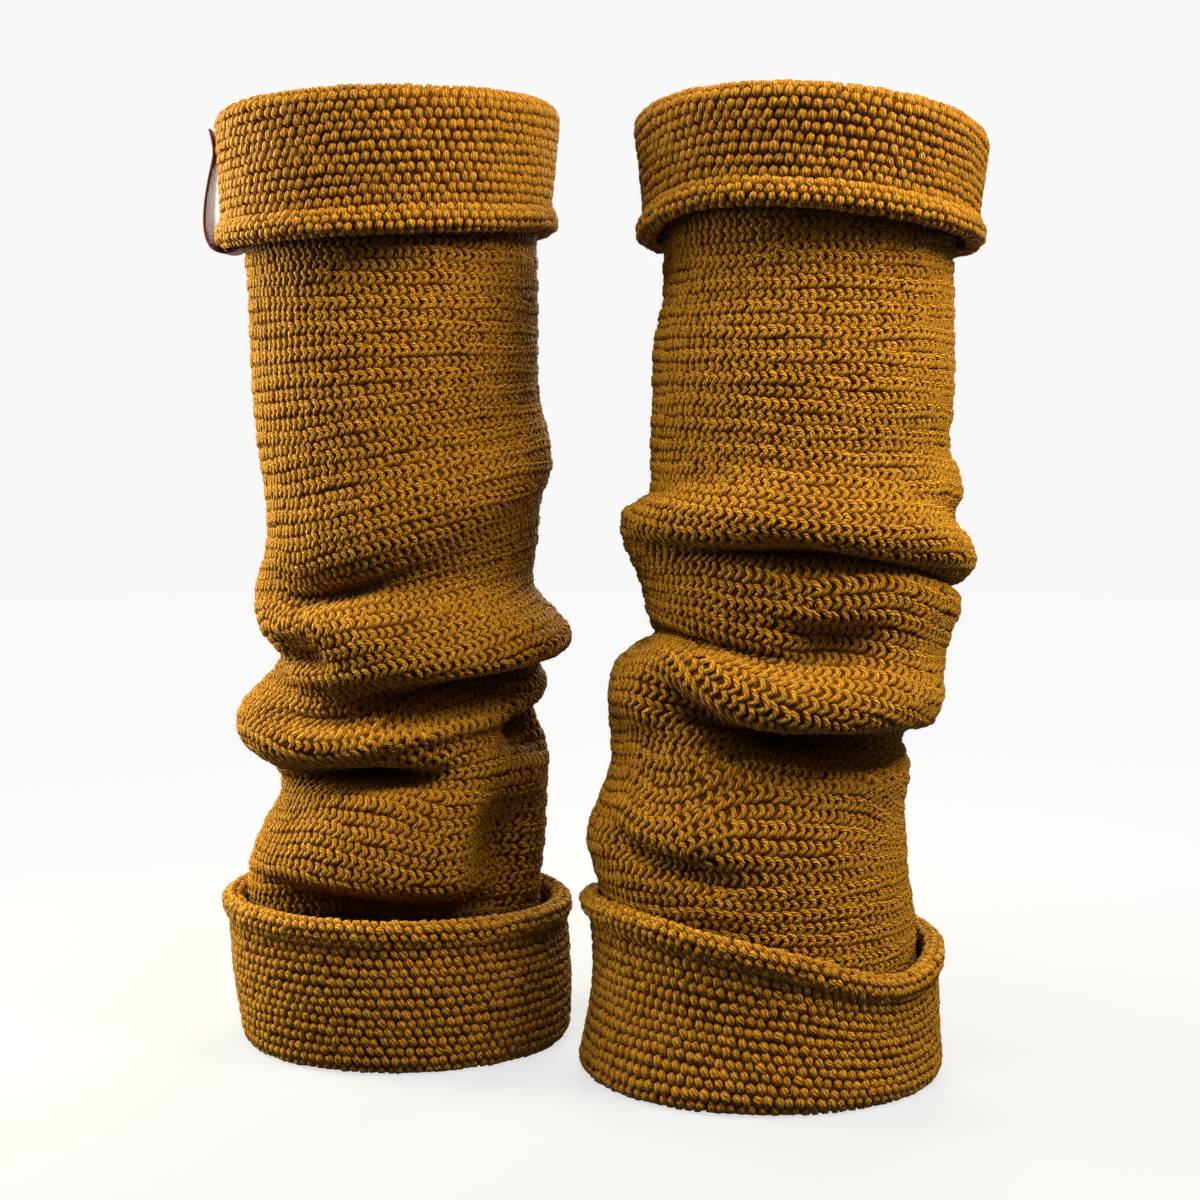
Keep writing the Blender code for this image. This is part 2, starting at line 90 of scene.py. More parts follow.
LEFT_FOLDS = (
    Fold(
        "slanting_ridge", droop=0.4, above=0.018, below=0.013,
        heights=(0.2048, 0.2168, 0.2448, 0.2270),
        depths=(0.0020, 0.0040, 0.0053, 0.0030),
    ),
    Fold(
        "hollow_below_ridge", above=0.010, below=0.008,
        heights=(0.1947, 0.1930, 0.1945, 0.2010, 0.2050, 0.2070, 0.2050, 0.2000),
        depths=(0.0, -0.0065, -0.0055, -0.0010, 0.0, -0.0020, -0.0040, -0.0010),
    ),
    Fold(
        "flap", droop=(0.1, 0.5, 0.35, 0.4),
        heights=(0.1800, 0.1635, 0.1625, 0.1660, 0.1705, 0.1720, 0.1740, 0.1770),
        depths=(0.0070, 0.0090, 0.0100, 0.0120, 0.0133, 0.0110, 0.0080, 0.0075),
        above=(0.018, 0.028, 0.024, 0.016, 0.011, 0.013, 0.016, 0.017),
        below=(0.012, 0.008, 0.011, 0.010),
    ),
    Fold(
        "dent_beside_pinch", above=0.008, below=0.006,
        heights=0.1660,
        depths=(-0.0010, -0.0050, 0.0, 0.0, 0.0, 0.0, 0.0, 0.0),
    ),
    Fold(
        "hollow_below_flap", above=0.006, below=0.006,
        heights=(0.1560, 0.1480, 0.1520, 0.1570, 0.1600, 0.1600, 0.1590, 0.1580),
        depths=(0.0, -0.0040, -0.0040, -0.0030, -0.0010, -0.0010, -0.0030, -0.0010),
    ),
    Fold(
        "roll", droop=(0.15, 0.5, 0.3, 0.4),
        heights=(0.1352, 0.1315, 0.1366, 0.1435, 0.1505, 0.1475, 0.1425, 0.1385),
        depths=(0.0182, 0.0150, 0.0100, 0.0065, 0.0055, 0.0060, 0.0100, 0.0140),
        above=(0.015, 0.011, 0.007, 0.012), below=(0.016, 0.009, 0.008, 0.010),
    ),
    Fold(
        "hollow_below_roll", above=0.006, below=0.008,
        heights=(0.1165, 0.1165, 0.1175, 0.1200, 0.1250, 0.1240, 0.1220, 0.1180),
        depths=(0.0, -0.0050, -0.0030, 0.0, 0.0, 0.0, -0.0030, -0.0030),
    ),
)
LEFT_LEG = Leg(
    name="left",
    place=(-0.0785, 0.0271, 0.0),
    sections=LEFT_SECTIONS,
    folds=LEFT_FOLDS,
    pleats=(Pleat("tuck_below_roll", facing=50, reach=14, top=0.138, bottom=0.075, depth=0.005),),
    top_cuff=Cuff(
        seam=0.3765,
        crests=(0.3872, 0.3900, 0.3908, 0.3896),
        centre_x=-0.0039, half_width=0.0674, half_depth=0.0664,
        edges=(0.3330, 0.3323, 0.3338, 0.3366, 0.3396, 0.3380, 0.3350, 0.3338),
        waist=0.0,
    ),
    bottom_cuff=Cuff(
        seam=0.0110,
        crests=0.0,
        centre_x=-0.0014, half_width=0.0703, half_depth=0.0692,
        edges=(0.0630, 0.0622, 0.0614, 0.0604, 0.0599, 0.0609, 0.0622, 0.0632),
        waist=-0.0015,
    ),
)

RIGHT_SECTIONS = table(
    Section,
    (0.3900, 0.0174, 0.0, 0.0602, 0.0590),
    (0.3485, 0.0163, 0.0, 0.0582, 0.0574),
    (0.3230, 0.0158, 0.0005, 0.0568, 0.0562),
    (0.3072, 0.0158, 0.0005, 0.0572, 0.0564),
    (0.2924, 0.0144, 0.0005, 0.0589, 0.0576),
    (0.2676, 0.0139, 0.0, 0.0592, 0.0580),
    (0.2507, 0.0127, 0.0, 0.0587, 0.0578),
    (0.2328, 0.0128, -0.0005, 0.0586, 0.0578),
    (0.2188, 0.0134, -0.0005, 0.0600, 0.0586),
    (0.2008, 0.0141, 0.0, 0.0631, 0.0606),
    (0.1877, 0.0146, 0.0005, 0.0625, 0.0602),
    (0.1746, 0.0132, 0.0010, 0.0594, 0.0584),
    (0.1544, 0.0053, 0.0010, 0.0581, 0.0574),
    (0.1342, -0.0023, 0.0005, 0.0580, 0.0572),
    (0.1250, -0.0018, 0.0, 0.0595, 0.0578),
    (0.1108, -0.0052, -0.0005, 0.0607, 0.0588),
    (0.0945, -0.0067, -0.0010, 0.0628, 0.0602),
    (0.0781, -0.0049, -0.0005, 0.0624, 0.0604),
    (0.0689, -0.0022, 0.0, 0.0614, 0.0602),
    (0.0577, -0.0006, 0.0, 0.0606, 0.0598),
    (0.0319, -0.0004, 0.0, 0.0610, 0.0602),
    (0.0, -0.0020, 0.0, 0.0632, 0.0624),
)
RIGHT_FOLDS = (
    Fold(
        "shoulder", droop=0.3, above=0.010, below=0.009,
        heights=(0.2365, 0.2365, 0.2368, 0.2348, 0.2338, 0.2338, 0.2348, 0.2365),
        depths=(0.0, 0.0, 0.0005, 0.0030, 0.0060, 0.0040, 0.0020, 0.0),
    ),
    Fold(
        "round_roll", droop=(0.1, 0.6, 0.3, 0.4),
        heights=(0.2225, 0.2233, 0.2208, 0.2153, 0.2078, 0.2098, 0.2148, 0.2188),
        depths=(0.0115, 0.0100, 0.0095, 0.0085, 0.0070, 0.0080, 0.0090, 0.0105),
        above=(0.005, 0.011, 0.008, 0.010), below=(0.019, 0.008, 0.009, 0.011),
    ),
    Fold(
        "hollow_below_roll", above=0.006, below=0.007,
        heights=(0.2120, 0.2120, 0.2115, 0.2070, 0.1990, 0.2010, 0.2060, 0.2100),
        depths=(0.0, -0.0020, -0.0035, -0.0030, -0.0010, -0.0020, -0.0030, -0.0020),
    ),
    Fold(
        "left_step", droop=0.1,
        heights=(0.1625, 0.1640, 0.1620, 0.1580, 0.1540, 0.1560, 0.1580, 0.1610),
        depths=(0.0112, 0.0095, 0.0070, 0.0030, 0.0, 0.0010, 0.0050, 0.0090),
        above=(0.005, 0.007, 0.007, 0.008), below=(0.022, 0.017, 0.018, 0.022),
    ),
    Fold(
        "right_overhang", droop=(0.3, 0.65, 0.7, 0.5),
        heights=(0.1510, 0.1510, 0.1500, 0.1480, 0.1448, 0.1455, 0.1480, 0.1510),
        depths=(0.0, 0.0040, 0.0080, 0.0082, 0.0062, 0.0062, 0.0050, 0.0010),
        above=(0.016, 0.016, 0.015, 0.016), below=(0.008, 0.008, 0.007, 0.008),
    ),
    Fold(
        "hollow_below_overhang", above=0.006, below=0.009,
        heights=(0.1420, 0.1420, 0.1400, 0.1380, 0.1330, 0.1350, 0.1380, 0.1420),
        depths=(0.0, -0.0020, -0.0040, -0.0040, -0.0010, -0.0020, -0.0020, 0.0),
    ),
    Fold(
        "low_ridge", droop=0.5, above=0.012, below=0.008,
        heights=(0.0956, 0.1027, 0.1020, 0.1010, 0.1000, 0.1000, 0.0990, 0.0970),
        depths=(0.0020, 0.0035, 0.0020, 0.0, 0.0, 0.0010, 0.0030, 0.0030),
    ),
)
RIGHT_LEG = Leg(
    name="right",
    place=(0.0725, -0.0269, 0.0),
    sections=RIGHT_SECTIONS,
    folds=RIGHT_FOLDS,
    pleats=(),
    top_cuff=Cuff(
        seam=0.3590,
        crests=(0.3808, 0.3840, 0.3832, 0.3776, 0.3716, 0.3742, 0.3790, 0.3812),
        centre_x=0.0166, half_width=0.0649, half_depth=0.0642,
        edges=(0.3314, 0.3402, 0.3387, 0.3330, 0.3284, 0.3272, 0.3280, 0.3290),
        waist=0.0005,
    ),
    bottom_cuff=Cuff(
        seam=0.0110,
        crests=0.0,
        centre_x=-0.0014, half_width=0.0698, half_depth=0.0694,
        edges=(0.0720, 0.0722, 0.0629, 0.0485, 0.0545, 0.0565, 0.0590, 0.0660),
        waist=(0.0040, 0.0020, 0.0, 0.0015),
    ),
)

# Creases pressed in where the cloth folds over itself: facing and reach
# in degrees round the tube, height there and its climb to each radian of turn,
# depth, how far the crease opens above and below, and how far the cloth above
# hangs over it (or, where negative, the cloth below stands up before it).
Crease = namedtuple("Crease", "name facing reach height climb depth above below lip", defaults=(0.0,))
CREASES = {
    "left": table(
        Crease,
        ("below_ridge", -26, 26, 0.1925, 0.012, 0.0060, 0.006, 0.005, 0.002),
        ("under_flap", 32, 56, 0.1520, 0.009, 0.0135, 0.009, 0.009),
        ("under_flap_left", -36, 22, 0.1440, 0.002, 0.0060, 0.003, 0.004, 0.002),
        ("pocket", -20, 30, 0.1170, 0.000, 0.0230, 0.0055, 0.0065),
        ("pinch", -45, 13, 0.1660, 0.000, 0.0080, 0.010, 0.004),
        ("right_tuck", 70, 16, 0.1350, 0.000, 0.0120, 0.007, 0.012),
        ("low_tuck", 52, 18, 0.0800, 0.000, 0.0120, 0.024, 0.020),
        ("above_cuff", 4, 54, 0.0600, -0.005, 0.0220, 0.010, 0.013),
        ("back_flap", 165, 42, 0.1585, -0.006, 0.0100, 0.006, 0.007, 0.002),
        ("back_pocket", -140, 30, 0.1200, 0.006, 0.0120, 0.005, 0.006),
        ("back_ridge", 140, 30, 0.2010, 0.010, 0.0065, 0.006, 0.005, 0.002),
    ),
    "right": table(
        Crease,
        ("under_roll_right", 45, 46, 0.2065, -0.014, 0.0100, 0.004, 0.005, 0.004),
        ("under_roll_left", -20, 42, 0.2120, -0.004, 0.0085, 0.005, 0.006, 0.001),
        ("dent", 8, 17, 0.1766, 0.000, 0.0070, 0.009, 0.009),
        ("behind_step", -40, 40, 0.1715, -0.008, 0.0090, 0.006, 0.003, -0.005),
        ("pocket", 22, 38, 0.1380, -0.003, 0.0230, 0.0080, 0.0105),
        ("beside_pocket", -24, 27, 0.1490, -0.018, 0.0165, 0.007, 0.009),
        ("low_hollow", -38, 24, 0.0960, -0.018, 0.0085, 0.005, 0.008, 0.001),
        ("back_roll", 170, 45, 0.2060, 0.004, 0.0095, 0.004, 0.006, 0.003),
        ("back_pocket", 150, 35, 0.1400, 0.004, 0.0120, 0.005, 0.006),
        ("back_step", -130, 34, 0.1700, 0.004, 0.0080, 0.005, 0.003, -0.004),
    ),
}
LIP_REACH = 0.006

# Painted shade that darkens the yarn in a hollow: how far round a point the tube is
# averaged and how many times that the average takes in, how deep below it the yarn
# starts to darken, and where it is darkest. Behind a cuff the painted shade darkens
# it over a short reach that starts at the cuff's edge, or a little above the bottom cuff's.
HOLLOW_SPREAD = 0.011
HOLLOW_SPREADS = 2.5
HOLLOW_FROM = 0.0006
HOLLOW_FULL = 0.0075
CUFF_SHADE_REACH = 0.007
CUFF_SHADE_RISE = 0.002

# Heights round each tube, from its left, that a row of the knit follows
ROW_LINES = {
    "left": (
        0.300,
        (0.217, 0.220, 0.229, 0.239, 0.243, 0.239, 0.229, 0.220),
        (0.153, 0.159, 0.171, 0.181, 0.185, 0.180, 0.170, 0.160),
        0.111,
    ),
    "right": (
        0.300,
        (0.226, 0.225, 0.222, 0.216, 0.210, 0.211, 0.217, 0.223),
        (0.174, 0.170, 0.158, 0.147, 0.142, 0.147, 0.158, 0.170),
        0.085,
    ),
}

# The knit: stitches along a row and rows above each other, on the right side, on
# the wrong side, and on a cuff's rolled edge
STITCH_PITCH = 0.0035
ROW_PITCH = 0.0047
BUMP_PITCH = 0.0038
BUMP_ROW_PITCH = 0.0040
EDGE_ROW_PITCH = 0.0035

# The grids: points down each row of stitches, columns round a tube, samples down
# its path, steps down a cuff's three parts, and the coarser grid of the thin shell
FINE = 4
COLUMNS = 192
COLUMN_ANGLES = np.linspace(-math.pi, math.pi, COLUMNS, endpoint=False)
SAMPLES = 900
CUFF_START_STEPS = 12
CUFF_TURN_STEPS = 24
CUFF_WALL_STEPS = 80
SHELL_HALF = 0.0008
SHELL_COLUMNS = 64
SHELL_ROW_STEP = 2
FLOOR_CLEARANCE = 0.0002

# Yarn across its own run, as angles from straight out of the cloth
YARN_PROFILE = tuple(math.radians(a) for a in (-105, -38, 38, 105))

# A stitch's yarn: along the row and across it in shares of the pitches, how
# proud of the shell its middle lies, and its half width and height in metres.
YarnPoint = namedtuple("YarnPoint", "along across proud half_width half_height")


def mirrored(*half):
    """A stitch's yarn, from its first half with the middle point."""
    half = table(YarnPoint, *half)
    return half + tuple(point._replace(across=-point.across) for point in half[-2::-1])


CHEVRON = mirrored(
    (-0.55, 0.49, -0.00075, 0.00085, 0.00070),
    (-0.20, 0.42, 0.00010, 0.00114, 0.00096),
    (0.14, 0.24, 0.00050, 0.00127, 0.00110),
    (0.38, 0.0, 0.00040, 0.00124, 0.00100),
)
NUB = mirrored(
    (-0.48, 0.45, -0.00080, 0.00085, 0.00060),
    (-0.02, 0.30, 0.00005, 0.00124, 0.00100),
    (0.29, 0.0, 0.00020, 0.00132, 0.00105),
)
BUMP = table(
    YarnPoint,
    (0.15, 0.55, -0.00105, 0.00100, 0.00065),
    (0.10, 0.34, 0.00025, 0.00166, 0.00110),
    (0.02, 0.10, 0.00045, 0.00186, 0.00128),
    (-0.05, -0.20, 0.00045, 0.00192, 0.00132),
    (-0.12, -0.53, -0.00105, 0.00105, 0.00070),
)
EDGE_BUMP = table(
    YarnPoint,
    (0.20, 0.54, -0.00100, 0.00090, 0.00060),
    (0.10, 0.28, 0.00030, 0.00160, 0.00110),
    (0.0, 0.0, 0.00060, 0.00182, 0.00130),
    (-0.10, -0.28, 0.00030, 0.00160, 0.00110),
    (-0.20, -0.54, -0.00100, 0.00090, 0.00060),
)

# How unevenly the stitches lie: shares of a pitch, radians, share of size,
# metres, and how far a row waves in shares of its pitch
Unevenness = namedtuple("Unevenness", "shift lean size proud wave")
BODY_UNEVEN = Unevenness(0.09, math.radians(9), 0.12, 0.00022, 0.16)
CUFF_UNEVEN = Unevenness(0.10, math.radians(16), 0.14, 0.00028, 0.14)
EDGE_UNEVEN = Unevenness(0.12, math.radians(14), 0.15, 0.00030, 0.10)

# How far each row drifts along from the one before, in stitches, and the waves
# of a row: how many go round the tube, and what share of one each row adds
ROW_DRIFT = 0.12
ROW_WAVES = ((3, 0.13), (7, -0.19))

# Layers of stitches: the yarn's shape, how unevenly it lies, whether every second
# row is shifted by half a stitch, the look and the slot
Layer = namedtuple("Layer", "shape uneven brick look slot")
CHEVRONS = Layer(CHEVRON, BODY_UNEVEN, 0, "yarn", "knit")
NUBS = Layer(NUB, BODY_UNEVEN, 0, "yarn", "knit")
BUMPS = Layer(BUMP, CUFF_UNEVEN, 1, "bumps", "knit_reverse")
EDGE_BUMPS = Layer(EDGE_BUMP, EDGE_UNEVEN, 1, "edge", "knit_reverse")

# Seeds of the random draws: the first, and what each leg, layer and fuzz adds
SEED = 7
LEG_SEED_STEP = 10
CUFF_SEEDS = {"bottom": 4, "top": 6}
TUBE_FUZZ_SEED = 42
CUFF_FUZZ_SEED = 50

# A cuff's free edge, rolled into a bead: distance back from the edge, and how
# far out from the middle of the wall its outside and then its back lie.
EdgePoint = namedtuple("EdgePoint", "from_edge outward")
EDGE_ROLL = table(
    EdgePoint,
    (0.0095, 0.0008),
    (0.0072, 0.0026),
    (0.0045, 0.0038),
    (0.0018, 0.0036),
    (0.0004, 0.0022),
    (0.0, 0.0004),
    (0.0006, -0.0012),
    (0.0030, -0.0020),
    (0.0060, -0.0018),
)
BEAD_STEPS = 48

# How much of a cuff's length its rolled edge takes from the plain rows
EDGE_LENGTH = 0.0158

# How far the tube's stitches go on behind the cuffs, and the rows inside its top
UNDER_TOP_CUFF = 0.010
INSIDE_BOTTOM_CUFF = 0.032
INSIDE_ROWS = 5

# Loose fibres standing out of the yarn: hairs to a square metre, their size, the
# share of it that the shortest have, how far they lean, and how proud their roots are
HAIRS_PER_AREA = 60000
HAIR_LENGTH = 0.0026
HAIR_WIDTH = 0.00008
HAIR_SHORTEST = 0.5
HAIR_LEAN = 0.7
HAIR_ROOT = 0.0008

# Ribbon, as in the part, with its route as x and height
RIBBON_WIDTH = 0.014
RIBBON_THICKNESS = 0.0008
RIBBON_STEPS = 60
RIBBON_COLUMNS = 6
RIBBON_TWIST = math.radians(12)
RIBBON_SEWN_SHARE = 0.22
RIBBON_ROUTE = (
    (-0.0764, 0.3808),
    (-0.0754, 0.3765),
    (-0.0748, 0.3712),
    (-0.0756, 0.3655),
    (-0.0768, 0.3580),
    (-0.0777, 0.3500),
    (-0.0779, 0.3430),
    (-0.0771, 0.3370),
    (-0.0750, 0.3325),
    (-0.0712, 0.3303),
    (-0.0668, 0.3307),
    (-0.0640, 0.3328),
    (-0.0635, 0.3362),
)

# Camera and stage
CAMERA_PLACE = (0.0064, -0.9409, 0.2568)
CAMERA_TIP = math.atan(170 / 2300)
CAMERA_LENS = 69.0
CAMERA_SENSOR = 36.0
FLOOR_SIDE = 6.0
FLOOR_NEAR = (0.080, 0.079, 0.077, 1.0)
BLACK = (0.0, 0.0, 0.0, 1.0)
BACKDROP_RADIUS = 2.7
BACKDROP_LIGHT = (0.940, 0.940, 0.936, 1.0)
GLOW_FROM = 0.20
GLOW_FULL = 0.60
GLOW_NEAR = 0.74

Lamp = namedtuple("Lamp", "name place size watts colour aim")
LAMPS = table(
    Lamp,
    ("left_softbox", (-0.62, 0.17, 0.42), 0.40, 14.5, (1.0, 0.98, 0.76), (-0.10, 0.03, 0.22)),
    ("right_softbox", (0.44, -0.32, 0.76), 0.30, 10.0, (1.0, 0.93, 0.84), (0.06, -0.03, 0.28)),
    ("front_softbox", (-0.14, -0.60, 1.26), 0.42, 13.4, (1.0, 0.93, 0.88), (0.0, 0.0, 0.24)),
    ("back_softbox", (0.20, 0.80, 0.52), 0.50, 11.0, (1.0, 0.95, 0.82), (0.0, 0.0, 0.20)),
)
SKY_LIGHT = (0.20, 0.199, 0.196, 1.0)
GROUND_LIGHT = (0.07, 0.069, 0.066, 1.0)
SKY_FROM = 0.3

# Colours of the yarn: its middle and its light colour, between which random tone and
# painted highlight on the crests of its plies mix it, with how many plies show
# across a stitch and turn along it
Yarn = namedtuple("Yarn", "name middle light plies twists")
YARNS = {
    "yarn": Yarn("mustard_yarn", (0.27, 0.095, 0.004, 1.0), (0.62, 0.285, 0.010, 1.0), 3.0, 4.5),
    "bumps": Yarn("mustard_yarn_reverse", (0.26, 0.091, 0.004, 1.0), (0.56, 0.250, 0.010, 1.0), 5.0, 1.5),
    "edge": Yarn("mustard_yarn_edge", (0.32, 0.120, 0.005, 1.0), (0.58, 0.268, 0.010, 1.0), 4.0, 2.0),
}
# Painted shade: the dark that the yarn is mixed to between its plies, on its flanks and where it dives
# under
YARN_SHADE_COLOUR = (0.065, 0.020, 0.001, 1.0)
FUZZ_COLOURS = ((0.42, 0.19, 0.008, 1.0), (0.78, 0.44, 0.04, 1.0))
# The backing between stitches, coloured dark as painted shade of the deep knit, with random tone
BACKING_SHADE_COLOURS = ((0.030, 0.009, 0.0005, 1.0), (0.12, 0.040, 0.0015, 1.0))
# The knit's wrong side: colours mixed by random fibre tone and painted highlight on its bump tops, and
# painted shade in the gaps between bumps
INSIDE_COLOURS = ((0.25, 0.088, 0.004, 1.0), (0.46, 0.200, 0.010, 1.0))
INSIDE_GAP_SHADE = (0.04, 0.013, 0.001, 1.0)
RIBBON_COLOURS = ((0.10, 0.004, 0.008, 1.0), (0.22, 0.012, 0.018, 1.0))
RIBBON_EDGE_COLOUR = (0.09, 0.004, 0.008, 1.0)
# Painted shade in hollows and behind the cuffs: its colour and how much of it is mixed in
HOLLOW_SHADE_COLOUR = (0.030, 0.010, 0.001, 1.0)
HOLLOW_DARKNESS = 0.92
WOOL_SHEEN = (1.0, 0.66, 0.06, 1.0)

# What makes a yarn's tone: how far patches of noise push its plies round, what
# patches and fibres add to its light as random tone and what plies add as painted
# highlight on their crests, and how much darker painted shade makes it between
# plies and where it is hidden, on its flanks and where it dives under
PATCH_TWIST = 2.5
PATCH_LIGHT = 0.8
FIBRE_LIGHT = 0.9
PLY_LIGHT = 0.45
LIGHT_LOWERED = 0.62
PLY_SHADE = 0.62
HIDDEN_SHADE = 0.7
FLANK_SHARPNESS = 3.0
DIVE_SHARPNESS = 5.0
GROOVE_SHARPNESS = 1.5

# Threads along and across the ribbon, and where its denser edge begins
RIBBON_THREADS = 110
RIBBON_WARPS = 34
RIBBON_EDGE_FROM = 0.86


def smooth_through(at, knots, values):
    """Cubic curve through values at rising knots, read at the given places."""
    knots = np.asarray(knots, dtype=float)
    values = np.asarray(values, dtype=float)
    slopes = np.gradient(values, knots)
    index = np.clip(np.searchsorted(knots, at) - 1, 0, len(knots) - 2)
    span = knots[index + 1] - knots[index]
    part = np.clip((at - knots[index]) / span, 0.0, 1.0)
    rise = values[index + 1] - values[index]
    blend = part * part * (3 - 2 * part)
    start_pull = part * (1 - part) ** 2 * slopes[index] * span
    end_pull = part ** 2 * (part - 1) * slopes[index + 1] * span
    return values[index] + rise * blend + start_pull + end_pull


def round_tube(angle, values):
    """Values at even steps round the tube, from its left, read at angles."""
    if not isinstance(values, tuple):
        return np.full(np.shape(angle), values)
    count = len(values)
    place = ((angle + math.pi / 2) / (2 * math.pi) * count) % count
    knots = np.arange(-2, count + 3)
    return smooth_through(place, knots, [values[knot % count] for knot in knots])


def section_values(leg, height, field):
    rows = leg.sections[::-1]
    knots = [row.height for row in rows]
    return smooth_through(height, knots, [getattr(row, field) for row in rows])


def fold_shift(leg, angle, height):
    """How far the folds push the cloth out and let it down."""
    outward = np.zeros(np.broadcast(angle, height).shape)
    down = np.zeros_like(outward)
    for fold in leg.folds:
        depth = round_tube(angle, fold.depths)
        droop = round_tube(angle, fold.droop)
        crest = round_tube(angle, fold.heights) + droop * depth
        above = round_tube(angle, fold.above)
        below = round_tube(angle, fold.below)
        reach = np.where(height > crest, above, below)
        bump = depth * np.exp(-np.abs((height - crest) / reach) ** FOLD_ROUNDNESS)
        outward += bump
        down += droop * bump
    for pleat in leg.pleats:
        turn = np.degrees(angle) - pleat.facing
        turn = (turn + 180) % 360 - 180
        middle = (pleat.top + pleat.bottom) / 2
        half = (pleat.top - pleat.bottom) / 2
        along = np.clip(1 - ((height - middle) / half) ** 2, 0, None)
        outward -= pleat.depth * along * np.exp(-(turn / pleat.reach) ** 2)
    for crease in CREASES[leg.name]:
        turn = (np.degrees(angle) - crease.facing + 180) % 360 - 180
        lowest = crease.height + crease.climb * np.radians(turn)
        open_by = np.where(height > lowest, crease.above, crease.below)
        groove = np.exp(-np.abs((height - lowest) / open_by) ** CREASE_SHARPNESS)
        reached = np.exp(-np.abs(turn / crease.reach) ** CREASE_ROUNDNESS)
        outward -= crease.depth * groove * reached
        lip_height = lowest + (crease.above if crease.lip > 0 else -crease.below)
        down += crease.lip * reached * np.exp(-((height - lip_height) / LIP_REACH) ** 2)
    return outward, down


def tube_points(leg, angle, height):
    """Middle of the folded tube's wall."""
    outward, down = fold_shift(leg, angle, height)
    inset = outward - WALL / 2
    width = section_values(leg, height, "half_width") + inset
    depth = section_values(leg, height, "half_depth") + inset
    x = section_values(leg, height, "centre_x") + width * np.sin(angle)
    y = section_values(leg, height, "centre_y") - depth * np.cos(angle)
    return np.stack(np.broadcast_arrays(x, y, height - down), axis=-1)


def tube_path(leg, top, bottom):
    heights = np.linspace(top, bottom, SAMPLES)
    return tube_points(leg, COLUMN_ANGLES, heights[:, None])


def cuff_path(leg, cuff, upward):
    """Middle of a cuff's wall, from its seam round the turn to its free edge."""
    angles = COLUMN_ANGLES
    outward = np.stack([np.sin(angles), -np.cos(angles), np.zeros(COLUMNS)], axis=-1)
    turn_centre = round_tube(angles, cuff.crests) - upward * TURN_REACH
    rows = []
    for share in np.linspace(0, 1, CUFF_START_STEPS, endpoint=False):
        height = cuff.seam + (turn_centre - cuff.seam) * share
        rows.append(tube_points(leg, angles, height))
    start = tube_points(leg, angles, turn_centre)
    for turn in np.linspace(0, math.pi, CUFF_TURN_STEPS, endpoint=False):
        row = start + TURN_RADIUS * (1 - math.cos(turn)) * outward
        row[:, 2] += upward * TURN_RADIUS * math.sin(turn)
        rows.append(row)
    wall_start = start + 2 * TURN_RADIUS * outward
    edge = np.stack(
        [
            cuff.centre_x + (cuff.half_width - WALL / 2) * np.sin(angles),
            -(cuff.half_depth - WALL / 2) * np.cos(angles),
            round_tube(angles, cuff.edges),
        ],
        axis=-1,
    )
    waist = round_tube(angles, cuff.waist)[:, None] * outward
    for share in np.linspace(0, 1, CUFF_WALL_STEPS):
        row = wall_start + (edge - wall_start) * share
        rows.append(row - waist * math.sin(math.pi * share))
    return np.array(rows)


def unit(vectors):
    return vectors / np.linalg.norm(vectors, axis=-1, keepdims=True)


def facing_of(points, way):
    """Which way the cloth's face looks at each point of a grid."""
    along = np.gradient(points, axis=0)
    around = np.roll(points, -1, axis=1) - np.roll(points, 1, axis=1)
    return unit(way * np.cross(along, around))


def lengths_down(points):
    steps = np.linalg.norm(np.diff(points, axis=0), axis=-1)
    return np.vstack([np.zeros((1, points.shape[1])), np.cumsum(steps, axis=0)])


def length_round(points):
    """Mean length of a grid's closed rows."""
    return np.linalg.norm(np.roll(points, -1, axis=1) - points, axis=-1).sum(axis=1).mean()


def read_down(grid, length, at):
    """A grid's values where the length down each of its columns is as given."""
    read = np.empty((len(at), COLUMNS, 3))
    for column in range(COLUMNS):
        for axis in range(3):
            read[:, column, axis] = np.interp(at[:, column], length[:, column], grid[:, column, axis])
    return read


def rolled_edge(path, way):
    """The outer face of a cuff's path, carried round its bead to the back."""
    normal = facing_of(path, way)
    length = lengths_down(path)
    to_edge = length - length[-1]
    wall = path + SHELL_HALF * normal
    keep = int(np.min(np.sum(-to_edge > EDGE_ROLL[0].from_edge, axis=0)))
    knots = np.arange(len(EDGE_ROLL))
    steps = np.linspace(0, len(EDGE_ROLL) - 1, BEAD_STEPS)
    back, outward = (smooth_through(steps, knots, values)[:, None] for values in zip(*EDGE_ROLL))
    at = np.tile(-back, COLUMNS)
    bead = read_down(path, to_edge, at) + outward[..., None] * read_down(normal, to_edge, at)
    return np.vstack([wall[:keep], bead])


Cloth = namedtuple("Cloth", "points facing shade rows stitches")


def make_cloth(path, way, pitch, lift, row_pitch=ROW_PITCH, lines=()):
    """Rows of knit along a path, a grid of FINE points to each row.

    Each line gives, for every column, the length down the path that one row
    follows; the rows between two lines are evenly spaced.
    """
    length = lengths_down(path)
    knots = np.array([np.zeros(COLUMNS), *lines, length[-1]])
    between_knots = np.maximum(np.round(np.diff(knots, axis=0).mean(axis=1) / row_pitch), 1)
    counts = np.concatenate([[0], np.cumsum(between_knots)])
    rows = int(counts[-1])
    steps = np.arange(rows * FINE + 1) / FINE
    at = np.stack([np.interp(steps, counts, knots[:, column]) for column in range(COLUMNS)], axis=1)
    points = read_down(path, length, at)
    facing = facing_of(points, way)
    points = points + lift * facing
    shade = np.zeros((*points.shape[:2], 1))
    return Cloth(points, facing, shade, rows, round(length_round(points) / pitch))


def row_lines(leg, path, top, bottom):
    """How far down the tube's path its row lines lie in each column."""
    length = lengths_down(path)
    samples = np.arange(SAMPLES)
    lines = []
    for heights in ROW_LINES[leg.name]:
        at = (top - round_tube(COLUMN_ANGLES, heights)) / (top - bottom) * (SAMPLES - 1)
        lines.append([np.interp(at[column], samples, length[:, column]) for column in range(COLUMNS)])
    return lines


